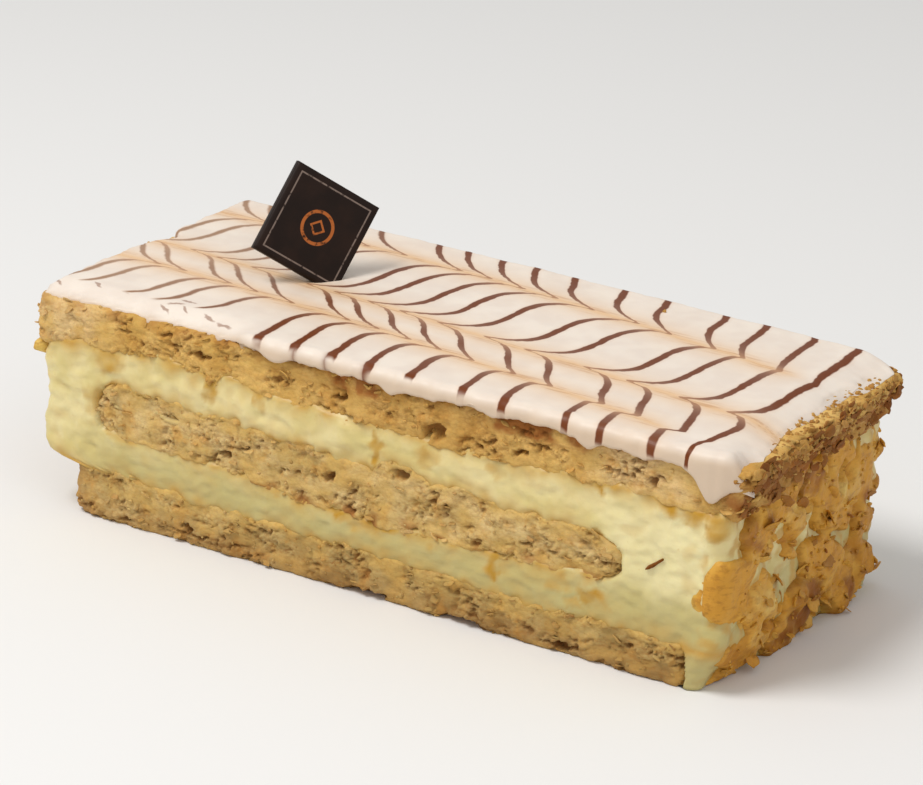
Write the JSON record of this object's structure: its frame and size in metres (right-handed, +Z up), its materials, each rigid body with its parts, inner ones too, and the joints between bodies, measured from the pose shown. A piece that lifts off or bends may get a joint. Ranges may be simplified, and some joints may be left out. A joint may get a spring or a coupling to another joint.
{
  "type": "mille feuille slice",
  "caption": "Rectangular slice of layered puff pastry and pastry cream, with a feathered icing top, flake-coated ends and a small chocolate plaque standing on it.",
  "frame": {"origin": "on the surface it rests on, under the middle of the whole slice's bounding box", "axes": "+X along the slice towards the end with the thick flake coat, +Y from the front cut side to the back cut side, +Z up"},
  "size_m": [0.1304, 0.0582, 0.0567],
  "materials": {
    "puff_pastry": "baked puff pastry, cut and crumbly, dry and matt, with fine flaky layers and dark pockets",
    "pastry_cream": "soft pale yellow custard cream, smeared by the knife, satin",
    "feathered_icing": "poured white icing, glossy, with thin chocolate lines combed into a feather pattern",
    "dark_chocolate": "thin tempered dark chocolate, satin, with a plain printed copper ornament",
    "pastry_flakes": "broken flakes of browned puff pastry stuck into cream, matt to slightly shiny"
  },
  "bodies": {
    "root": {"bottom_pastry": "puff_pastry", "lower_cream": "pastry_cream", "middle_pastry": "puff_pastry", "upper_cream": "pastry_cream", "top_pastry": "puff_pastry", "icing": "feathered_icing", "chocolate_plaque": "dark_chocolate", "left_flake_coat": "pastry_flakes", "right_flake_coat": "pastry_flakes"}
  },
  "joints": []
}
